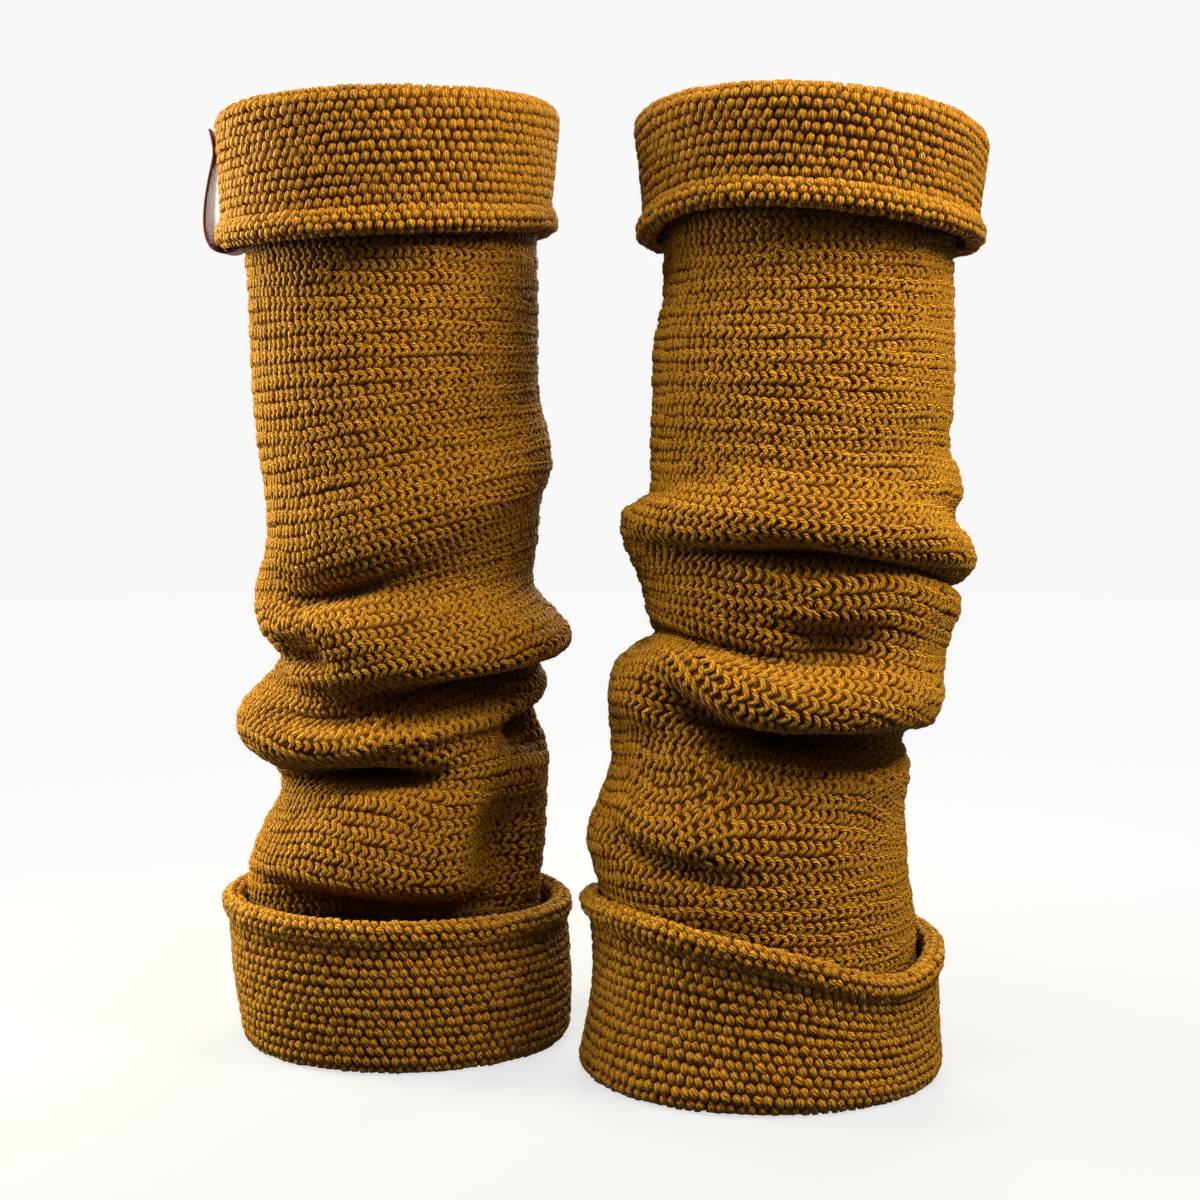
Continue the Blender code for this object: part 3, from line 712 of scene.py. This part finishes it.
def hollow_shade(leg, cloth):
    """Share of painted shade in the tube's hollows and where a cuff covers it."""
    outward = cloth.points - leg.place
    outward = np.hypot(outward[..., 0], outward[..., 1])
    step = lengths_down(cloth.points)[-1].mean() / len(cloth.points)
    reach = round(HOLLOW_SPREADS * HOLLOW_SPREAD / step)
    weight = np.exp(-0.5 * (np.arange(-reach, reach + 1) * step / HOLLOW_SPREAD) ** 2)
    weight /= weight.sum()
    padded = np.pad(outward, ((reach, reach), (0, 0)), mode="edge")
    average = sum(share * padded[start:start + len(outward)] for start, share in enumerate(weight))
    deep = (average - outward - HOLLOW_FROM) / (HOLLOW_FULL - HOLLOW_FROM)
    height = cloth.points[..., 2]
    lower_edge = round_tube(COLUMN_ANGLES, leg.bottom_cuff.edges) + CUFF_SHADE_RISE
    covered_below = (lower_edge - height) / CUFF_SHADE_REACH
    covered_above = 1 + (height - round_tube(COLUMN_ANGLES, leg.top_cuff.edges)) / CUFF_SHADE_REACH
    shade = np.clip(np.maximum(deep, np.maximum(covered_below, covered_above)), 0, 1)
    return (shade * shade * (3 - 2 * shade))[..., None]


def on_cloth(cloth, row, turn):
    """Point, facing and painted shade at a fractional row, and a share of the way round."""
    row = np.clip(row * FINE, 0, len(cloth.points) - 1.001)
    column = (turn % 1.0) * COLUMNS
    row_below = np.floor(row).astype(int)
    column_before = np.floor(column).astype(int)
    down = (row - row_below)[..., None]
    across = (column - column_before)[..., None]
    column_before %= COLUMNS
    column_after = (column_before + 1) % COLUMNS

    def between(grid, at):
        return grid[at, column_before] * (1 - across) + grid[at, column_after] * across

    grids = (cloth.points, cloth.facing, cloth.shade)
    return [between(grid, row_below) * (1 - down) + between(grid, row_below + 1) * down for grid in grids]


def mesh_of(name, points, quads, uvs, shade=None):
    """A mesh from arrays of points, four-sided faces, their corners' UVs and painted shade."""
    points = np.maximum(points.reshape(-1, 3), (-np.inf, -np.inf, FLOOR_CLEARANCE))
    mesh = bpy.data.meshes.new(name)
    mesh.vertices.add(len(points))
    mesh.vertices.foreach_set("co", points.astype(np.float32).ravel())
    mesh.loops.add(quads.size)
    mesh.loops.foreach_set("vertex_index", quads.astype(np.int32).ravel())
    mesh.polygons.add(len(quads))
    mesh.polygons.foreach_set("loop_start", np.arange(0, quads.size, 4, dtype=np.int32))
    layer = mesh.uv_layers.new(name="knit")
    layer.data.foreach_set("uv", uvs.astype(np.float32).ravel())
    if shade is not None:
        attribute = mesh.attributes.new("shade", "FLOAT", "POINT")
        attribute.data.foreach_set("value", shade.astype(np.float32).ravel())
    mesh.update(calc_edges=True)
    mesh.validate()
    mesh.shade_smooth()
    return mesh


def grid_faces(row_count, column_count, closed=False):
    """Four-sided faces of a grid of points, and their corners' rows and columns."""
    columns = column_count if closed else column_count - 1
    row, column = np.meshgrid(np.arange(row_count - 1), np.arange(columns), indexing="ij")
    row = np.stack([row, row + 1, row + 1, row], axis=-1).reshape(-1, 4)
    column = np.stack([column, column, column + 1, column + 1], axis=-1).reshape(-1, 4)
    return row * column_count + column % column_count, row, column


def add_object(name, data):
    item = bpy.data.objects.new(name, data)
    bpy.context.scene.collection.objects.link(item)
    return item


def add_piece(name, mesh, materials):
    piece = add_object(name, mesh)
    for material in materials:
        piece.data.materials.append(material)
    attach(piece, "root")
    return piece


def shell_piece(name, cloth, way, looks):
    """The thin cloth under the stitches, its outer face first."""
    rows = np.arange(0, len(cloth.points), SHELL_ROW_STEP)
    columns = np.arange(0, COLUMNS, COLUMNS // SHELL_COLUMNS)
    grid = cloth.points[rows][:, columns]
    quads, row, column = grid_faces(*grid.shape[:2], closed=True)
    u = column / SHELL_COLUMNS * cloth.stitches
    v = row * SHELL_ROW_STEP / FINE
    uvs = np.stack([u, v], axis=-1)
    if way < 0:
        quads = quads[:, ::-1]
        uvs = uvs[:, ::-1]
    mesh = mesh_of(name, grid, quads, uvs, cloth.shade[rows][:, columns])
    shell = add_piece(name, mesh, [looks["backing"], looks["inside"]])
    wall = shell.modifiers.new("wall", "SOLIDIFY")
    wall.thickness = 2 * SHELL_HALF
    wall.offset = -1.0
    wall.material_offset = 1
    return shell


def stitch_piece(name, cloth, layer, rows, looks, seed):
    """All the yarn of some rows of stitches, as one joined mesh."""
    chance = np.random.default_rng(seed)
    uneven = layer.uneven
    row, place = np.meshgrid(np.asarray(rows), np.arange(cloth.stitches), indexing="ij")
    count = row.size
    drift = np.cumsum(chance.normal(0, ROW_DRIFT, len(rows)))
    place = place + drift[:, None] + layer.brick * (row % 2) / 2
    share = place / cloth.stitches
    wave = sum(np.sin(2 * math.pi * (turns * share + climb * row)) for turns, climb in ROW_WAVES)
    row = (row + 0.5 + uneven.wave / 2 * wave).ravel() + uneven.shift * chance.uniform(-1, 1, count)
    place = place.ravel() + uneven.shift * chance.uniform(-1, 1, count)
    lean = uneven.lean * chance.uniform(-1, 1, count)[:, None]
    size = 1 + uneven.size * chance.uniform(-1, 1, (count, 2))
    proud = uneven.proud * chance.uniform(-1, 1, count)[:, None]

    along, across, stands, half_width, half_height = np.array(layer.shape).T
    along = along * size[:, :1]
    across = across * size[:, 1:]
    turned_along = along * np.cos(lean) - across * np.sin(lean)
    turned_across = across * np.cos(lean) + along * np.sin(lean)
    turn = (place[:, None] + turned_along) / cloth.stitches
    points, facing, shade = on_cloth(cloth, row[:, None] - turned_across, turn)
    middle = points + (stands + proud)[..., None] * facing

    run = unit(np.gradient(middle, axis=1))
    side = unit(np.cross(run, facing))
    up = np.cross(side, run)
    half_width = (half_width * size[:, :1])[..., None]
    half_height = half_height[:, None]
    rings = []
    for angle in YARN_PROFILE:
        rings.append(middle + half_width * math.sin(angle) * side + half_height * math.cos(angle) * up)
    yarn = np.stack(rings, axis=2)

    steps = len(layer.shape)
    sides = len(YARN_PROFILE)
    one, step, flank = (corners[:, [0, 3, 2, 1]] for corners in grid_faces(steps, sides))
    quads = (np.arange(count)[:, None, None] * steps * sides + one).reshape(-1, 4)
    uvs = np.tile(np.stack([step / (steps - 1), flank / (sides - 1)], axis=-1), (count, 1, 1))
    mesh = mesh_of(name, yarn, quads, uvs, np.repeat(shade, sides))
    return add_piece(name, mesh, [looks[layer.look]])


def fuzz_piece(name, cloth, rows, looks, seed):
    """Loose fibres over some rows of the cloth, each one thin tapered blade."""
    chance = np.random.default_rng(seed)
    count = round(HAIRS_PER_AREA * length_round(cloth.points) * len(rows) * ROW_PITCH)
    row = chance.uniform(rows[0], rows[-1] + 1, count)
    turn = chance.uniform(0, 1, count)
    root, facing, shade = on_cloth(cloth, row, turn)
    away = unit(facing + chance.normal(0, HAIR_LEAN, (count, 3)))
    reach = HAIR_LENGTH * chance.uniform(HAIR_SHORTEST, 1.0, (count, 1))
    side = HAIR_WIDTH / 2 * unit(np.cross(away, chance.normal(0, 1, (count, 3))))
    root = root + HAIR_ROOT * facing
    tip = root + reach * away
    blade = np.stack([root - side, root + side, tip + side / 3, tip - side / 3], axis=1)
    quads = np.arange(4 * count).reshape(-1, 4)
    uvs = np.tile(np.array([[0, 0], [0, 1], [1, 1], [1, 0]]), (count, 1, 1))
    mesh = mesh_of(name, blade, quads, uvs, np.repeat(shade, 4))
    return add_piece(name, mesh, [looks["fuzz"]])


class Nodes:
    """Short hand for building one material's node tree."""

    def __init__(self, name):
        self.material = bpy.data.materials.new(name)
        self.material.use_nodes = True
        self.tree = self.material.node_tree
        self.shader = self.tree.nodes["Principled BSDF"]

    def add(self, kind, **settings):
        node = self.tree.nodes.new(kind)
        for key, value in settings.items():
            setattr(node, key, value)
        return node

    def join(self, source, target):
        self.tree.links.new(source, target)

    def feed(self, socket, value):
        if isinstance(value, bpy.types.NodeSocket):
            self.join(value, socket)
        else:
            socket.default_value = value

    def set(self, **values):
        """The shader's own numbers and colours, named by their sockets."""
        for name, value in values.items():
            self.shader.inputs[name.replace("_", " ")].default_value = value

    def math(self, operation, first, second=0.0, third=0.0):
        node = self.add("ShaderNodeMath", operation=operation)
        for socket, value in zip(node.inputs, (first, second, third)):
            self.feed(socket, value)
        return node.outputs[0]

    def times(self, first, second, plus=0.0):
        return self.math("MULTIPLY_ADD", first, second, plus)

    def wave(self, along, turns):
        return self.math("SINE", self.times(along, 2 * math.pi * turns))

    def from_middle(self, share):
        """How far a share is from a half: 0 there, and 1 at either end."""
        return self.math("ABSOLUTE", self.times(share, 2.0, -1.0))

    def mix(self, share, first, second):
        node = self.add("ShaderNodeMix", data_type="RGBA")
        for name, value in (("Factor_Float", share), ("A_Color", first), ("B_Color", second)):
            socket = next(item for item in node.inputs if item.identifier == name)
            self.feed(socket, value)
        return next(item for item in node.outputs if item.identifier == "Result_Color")

    def noise(self, coordinates, scale, detail=2.0):
        node = self.add("ShaderNodeTexNoise")
        self.join(coordinates, node.inputs["Vector"])
        node.inputs["Scale"].default_value = scale
        node.inputs["Detail"].default_value = detail
        return node.outputs["Fac"]

    def place(self):
        return self.add("ShaderNodeTexCoord").outputs["Object"]

    def uv(self):
        separate = self.add("ShaderNodeSeparateXYZ")
        self.join(self.add("ShaderNodeTexCoord").outputs["UV"], separate.inputs[0])
        return separate.outputs[0], separate.outputs[1]

    def in_hollows(self, colour):
        """Colour darkened by painted shade, from the cloth's shade attribute."""
        shade = self.add("ShaderNodeAttribute", attribute_name="shade").outputs["Fac"]
        return self.mix(self.times(shade, HOLLOW_DARKNESS), colour, HOLLOW_SHADE_COLOUR)

    def paint(self, colour):
        self.join(colour, self.shader.inputs["Base Color"])

    def bump(self, height, distance):
        node = self.add("ShaderNodeBump")
        self.join(height, node.inputs["Height"])
        node.inputs["Distance"].default_value = distance
        self.join(node.outputs["Normal"], self.shader.inputs["Normal"])

    def soften(self, roughness, specular, sheen, tint):
        self.set(Roughness=roughness, Specular_IOR_Level=specular)
        self.set(Sheen_Weight=sheen, Sheen_Roughness=0.45, Sheen_Tint=tint)


def yarn_material(yarn):
    """Plied wool: twisted strands, with painted highlight on the ply crests and painted shade between
    plies, on the flanks and where one yarn dives under another.
    """
    nodes = Nodes(yarn.name)
    along, round_yarn = nodes.uv()
    place = nodes.place()
    patch = nodes.noise(place, scale=260.0)
    fibre = nodes.noise(place, scale=2600.0, detail=3.0)
    twist = nodes.times(round_yarn, yarn.plies, nodes.times(along, yarn.twists))
    twist = nodes.times(patch, PATCH_TWIST, twist)
    strand = nodes.times(nodes.wave(twist, 1), 0.5, 0.5)
    # Painted shade on the yarn's flanks and where it dives under another
    flank = nodes.math("POWER", nodes.from_middle(round_yarn), FLANK_SHARPNESS)
    dive = nodes.math("POWER", nodes.from_middle(along), DIVE_SHARPNESS)
    flank_and_dive_shade = nodes.times(nodes.math("MAXIMUM", flank, dive), HIDDEN_SHADE)
    # Painted shade in the grooves between plies
    groove = nodes.math("POWER", nodes.math("SUBTRACT", 1.0, strand), GROOVE_SHARPNESS)
    groove = nodes.times(groove, PLY_SHADE)
    # Random tone from patches and fibres, and painted highlight on the ply crests
    lit = nodes.times(patch, PATCH_LIGHT, nodes.times(fibre, FIBRE_LIGHT))
    lit = nodes.times(strand, PLY_LIGHT, nodes.math("SUBTRACT", lit, LIGHT_LOWERED))
    colour = nodes.mix(lit, yarn.middle, yarn.light)
    colour = nodes.mix(nodes.math("MAXIMUM", groove, flank_and_dive_shade), colour, YARN_SHADE_COLOUR)
    # Painted shade from the hollows and behind the cuffs
    nodes.paint(nodes.in_hollows(colour))
    relief = nodes.times(strand, 0.8, nodes.times(fibre, 0.5))
    nodes.bump(relief, distance=0.0004)
    nodes.soften(roughness=0.75, specular=0.10, sheen=0.12, tint=WOOL_SHEEN)
    return nodes.material


def fuzz_material():
    nodes = Nodes("mustard_fibre")
    colour = nodes.mix(nodes.noise(nodes.place(), scale=900.0), *FUZZ_COLOURS)
    # Random tone, with painted shade from the hollows and behind the cuffs
    nodes.paint(nodes.in_hollows(colour))
    nodes.soften(roughness=0.8, specular=0.05, sheen=0.1, tint=(1.0, 0.80, 0.10, 1.0))
    return nodes.material


def backing_material():
    """The deep yarn between stitches, coloured dark as painted shade, with random tone."""
    nodes = Nodes("deep_yarn_shade")
    place = nodes.place()
    colour = nodes.mix(nodes.noise(place, scale=700.0, detail=3.0), *BACKING_SHADE_COLOURS)
    # Painted shade from the hollows and behind the cuffs
    nodes.paint(nodes.in_hollows(colour))
    nodes.bump(nodes.noise(place, scale=1500.0, detail=3.0), distance=0.0004)
    nodes.soften(roughness=0.95, specular=0.03, sheen=0.0, tint=(1.0, 1.0, 1.0, 1.0))
    return nodes.material


def inside_material():
    """The wrong side of the knit, in rounded bumps to each stitch."""
    nodes = Nodes("inside_knit")
    cells = nodes.add("ShaderNodeTexVoronoi")
    cells.inputs["Scale"].default_value = 1.0
    cells.inputs["Randomness"].default_value = 0.35
    stretch = nodes.add("ShaderNodeMapping")
    stretch.inputs["Scale"].default_value = (1.0, 2.0, 1.0)
    nodes.join(nodes.add("ShaderNodeTexCoord").outputs["UV"], stretch.inputs["Vector"])
    nodes.join(stretch.outputs["Vector"], cells.inputs["Vector"])
    rise = nodes.math("SUBTRACT", 1.0, nodes.math("POWER", cells.outputs["Distance"], 1.6))
    fibre = nodes.noise(nodes.place(), scale=1800.0, detail=3.0)
    # Random fibre tone with painted highlight on the bump tops, and painted shade in the gaps between
    # bumps
    lit = nodes.times(fibre, 0.4, nodes.times(rise, 0.6))
    gap_shade = nodes.times(nodes.math("SUBTRACT", 1.0, rise), 1.5)
    nodes.paint(nodes.mix(gap_shade, nodes.mix(lit, *INSIDE_COLOURS), INSIDE_GAP_SHADE))
    nodes.bump(nodes.times(fibre, 0.15, rise), distance=0.0018)
    nodes.soften(roughness=0.85, specular=0.08, sheen=0.08, tint=WOOL_SHEEN)
    return nodes.material


def ribbon_material():
    """Satin ribbon with fine cross threads and a denser edge."""
    nodes = Nodes("burgundy_satin")
    along, across = nodes.uv()
    threads = nodes.math("ADD", nodes.wave(along, RIBBON_THREADS), nodes.wave(across, RIBBON_WARPS))
    weave = nodes.times(threads, 0.25, 0.5)
    edge = nodes.math("GREATER_THAN", nodes.from_middle(across), RIBBON_EDGE_FROM)
    patch = nodes.noise(nodes.place(), scale=300.0)
    tone = nodes.times(patch, 0.6, nodes.times(weave, 0.4))
    colour = nodes.mix(tone, *RIBBON_COLOURS)
    nodes.paint(nodes.mix(nodes.times(edge, 0.5), colour, RIBBON_EDGE_COLOUR))
    nodes.bump(nodes.times(edge, 0.8, weave), distance=0.00012)
    nodes.soften(roughness=0.45, specular=0.25, sheen=0.1, tint=(1.0, 0.3, 0.3, 1.0))
    return nodes.material


def stage_material():
    """White paper, lit from below so that it stays white beyond the pair."""
    nodes = Nodes("pale_floor")
    nodes.set(Roughness=0.9, Specular_IOR_Level=0.1, Emission_Color=BACKDROP_LIGHT)
    distance = nodes.add("ShaderNodeVectorMath", operation="LENGTH")
    nodes.join(nodes.place(), distance.inputs[0])
    glow = nodes.add("ShaderNodeMapRange", interpolation_type="SMOOTHSTEP")
    nodes.join(distance.outputs["Value"], glow.inputs["Value"])
    glow.inputs["From Min"].default_value = GLOW_FROM
    glow.inputs["From Max"].default_value = GLOW_FULL
    far = glow.outputs["Result"]
    nodes.paint(nodes.mix(far, FLOOR_NEAR, BLACK))
    strength = nodes.times(far, 1.0 - GLOW_NEAR, GLOW_NEAR)
    nodes.join(strength, nodes.shader.inputs["Emission Strength"])
    return nodes.material


def backdrop_material():
    nodes = Nodes("white_backdrop")
    nodes.set(Base_Color=BLACK, Specular_IOR_Level=0.0)
    nodes.set(Emission_Color=BACKDROP_LIGHT, Emission_Strength=1.0)
    return nodes.material


def row_range(cloth, highest, lowest):
    """The rows whose middle height lies between two heights."""
    heights = cloth.points[FINE // 2::FINE, :, 2].mean(axis=1)
    inside = np.flatnonzero((heights < highest) & (heights > lowest))
    return range(inside[0], min(inside[-1] + 1, cloth.rows))


def dress_tube(leg, looks, seed):
    """The tube between the cuffs: shell, stitches, and bumps inside its top."""
    top = leg.top_cuff.seam - SEAM_GAP / 2
    bottom = leg.bottom_cuff.seam + SEAM_GAP / 2
    path = tube_path(leg, top, bottom) + leg.place
    lines = row_lines(leg, path, top, bottom)
    cloth = make_cloth(path, 1, STITCH_PITCH, SHELL_HALF, lines=lines)
    # Painted shade for the tube's hollows and where the cuffs cover it
    cloth = cloth._replace(shade=hollow_shade(leg, cloth))
    name = f"{leg.name}_leg"
    shell = shell_piece(f"{name}_shell", cloth, 1, looks)
    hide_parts(name)

    highest = max(leg.top_cuff.edges) + UNDER_TOP_CUFF
    lowest = min(leg.bottom_cuff.edges) - INSIDE_BOTTOM_CUFF
    rows = row_range(cloth, highest, lowest)
    lining = make_cloth(path, -1, BUMP_PITCH, SHELL_HALF)
    stitches = [
        stitch_piece(f"{name}_chevrons", cloth, CHEVRONS, rows[::2], looks, seed + 1),
        stitch_piece(f"{name}_nubs", cloth, NUBS, rows[1::2], looks, seed + 2),
        fuzz_piece(f"{name}_fuzz", cloth, rows, looks, seed + TUBE_FUZZ_SEED),
        stitch_piece(f"{leg.name}_inside_stitches", lining, BUMPS, range(INSIDE_ROWS), looks, seed + 2),
    ]


def dress_cuff(leg, end, looks, seed):
    """A turned-back cuff: shell, the bumps of its wrong side, and its edge."""
    cuff, way = (leg.top_cuff, 1) if end == "top" else (leg.bottom_cuff, -1)
    path = rolled_edge(cuff_path(leg, cuff, way) + leg.place, way)
    cloth = make_cloth(path, way, BUMP_PITCH, 0.0, BUMP_ROW_PITCH)
    bead = make_cloth(path[-BEAD_STEPS:], way, BUMP_PITCH, 0.0, EDGE_ROW_PITCH)
    name = f"{leg.name}_{end}_cuff"
    shell = shell_piece(f"{name}_shell", cloth, way, looks)
    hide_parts(name)

    plain = range(cloth.rows - round(EDGE_LENGTH / BUMP_ROW_PITCH))
    fuzzy = range(cloth.rows - 1)
    stitches = [
        stitch_piece(f"{name}_stitches", cloth, BUMPS, plain, looks, seed),
        stitch_piece(f"{name}_edge", bead, EDGE_BUMPS, range(bead.rows), looks, seed + 1),
        fuzz_piece(f"{name}_fuzz", cloth, fuzzy, looks, seed + CUFF_FUZZ_SEED),
    ]


def dress_ribbon(place, look):
    """The blank loop: sewn on below its free tip and again under the cuff."""
    knots = np.linspace(0, 1, len(RIBBON_ROUTE))
    shares = np.linspace(0, 1, RIBBON_STEPS + 1)
    xs, heights = (smooth_through(shares, knots, values) for values in zip(*RIBBON_ROUTE))
    free = np.clip((shares - RIBBON_SEWN_SHARE) / (1 - RIBBON_SEWN_SHARE), 0, None)
    turn = RIBBON_TWIST * np.sin(math.pi * free)
    middle = np.stack([xs, np.zeros_like(xs), heights], axis=-1)
    across = np.stack([np.sin(turn), np.cos(turn), np.zeros_like(turn)], axis=-1)
    steps = np.linspace(-0.5, 0.5, RIBBON_COLUMNS + 1)
    grid = middle[:, None] + across[:, None] * (steps * RIBBON_WIDTH)[:, None] + place
    quads, row, column = grid_faces(*grid.shape[:2])
    uvs = np.stack([row / RIBBON_STEPS, column / RIBBON_COLUMNS], axis=-1)
    mesh = mesh_of("label_ribbon", grid, quads, uvs)
    ribbon = add_piece("label_ribbon", mesh, [look])
    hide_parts("left_label_loop")
    body = ribbon.modifiers.new("thickness", "SOLIDIFY")
    body.thickness = RIBBON_THICKNESS
    body.offset = 0.0


def make_stage():
    """A white floor, and a white dome that only the camera sees."""
    bpy.ops.mesh.primitive_plane_add(size=FLOOR_SIDE)
    floor = bpy.context.object
    floor.name = "floor"
    floor.data.materials.append(stage_material())
    floor.visible_diffuse = False

    bpy.ops.mesh.primitive_uv_sphere_add(radius=BACKDROP_RADIUS, segments=48, ring_count=24)
    dome = bpy.context.object
    dome.name = "backdrop"
    dome.data.materials.append(backdrop_material())
    dome.data.shade_smooth()
    for ray in ("diffuse", "glossy", "transmission", "shadow"):
        setattr(dome, f"visible_{ray}", False)


def make_world():
    """A dim room, darker below the horizon."""
    world = bpy.data.worlds.new("studio")
    world.use_nodes = True
    tree = world.node_tree
    height = tree.nodes.new("ShaderNodeSeparateXYZ")
    tree.links.new(tree.nodes.new("ShaderNodeTexCoord").outputs["Generated"], height.inputs[0])
    ramp = tree.nodes.new("ShaderNodeValToRGB")
    tree.links.new(height.outputs["Z"], ramp.inputs["Fac"])
    ramp.color_ramp.elements[0].color = GROUND_LIGHT
    ramp.color_ramp.elements[1].color = SKY_LIGHT
    ramp.color_ramp.elements[1].position = SKY_FROM
    tree.links.new(ramp.outputs["Color"], tree.nodes["Background"].inputs["Color"])
    bpy.context.scene.world = world


def make_lights():
    for lamp in LAMPS:
        light = bpy.data.lights.new(lamp.name, "AREA")
        light.energy = lamp.watts
        light.size = lamp.size
        light.color = lamp.colour
        holder = add_object(lamp.name, light)
        holder.location = lamp.place
        shining = Vector(lamp.aim) - Vector(lamp.place)
        holder.rotation_euler = shining.to_track_quat("-Z", "Y").to_euler()


def make_camera():
    camera = bpy.data.cameras.new("camera")
    camera.lens = CAMERA_LENS
    camera.sensor_width = CAMERA_SENSOR
    holder = add_object("camera", camera)
    holder.location = CAMERA_PLACE
    holder.rotation_euler = (math.pi / 2 - CAMERA_TIP, 0, 0)
    bpy.context.scene.camera = holder


def main():
    bpy.context.scene.view_settings.view_transform = "Standard"
    make_camera()
    make_world()
    make_lights()
    make_stage()
    looks = {key: yarn_material(yarn) for key, yarn in YARNS.items()}
    looks["fuzz"] = fuzz_material()
    looks["backing"] = backing_material()
    looks["inside"] = inside_material()
    for number, leg in enumerate((LEFT_LEG, RIGHT_LEG)):
        seed = SEED + LEG_SEED_STEP * number
        dress_tube(leg, looks, seed)
        for end, support in (("bottom", "floor"), ("top", f"{leg.name}_leg_shell")):
            dress_cuff(leg, end, looks, seed + CUFF_SEEDS[end])
    dress_ribbon(LEFT_LEG.place, ribbon_material())


main()
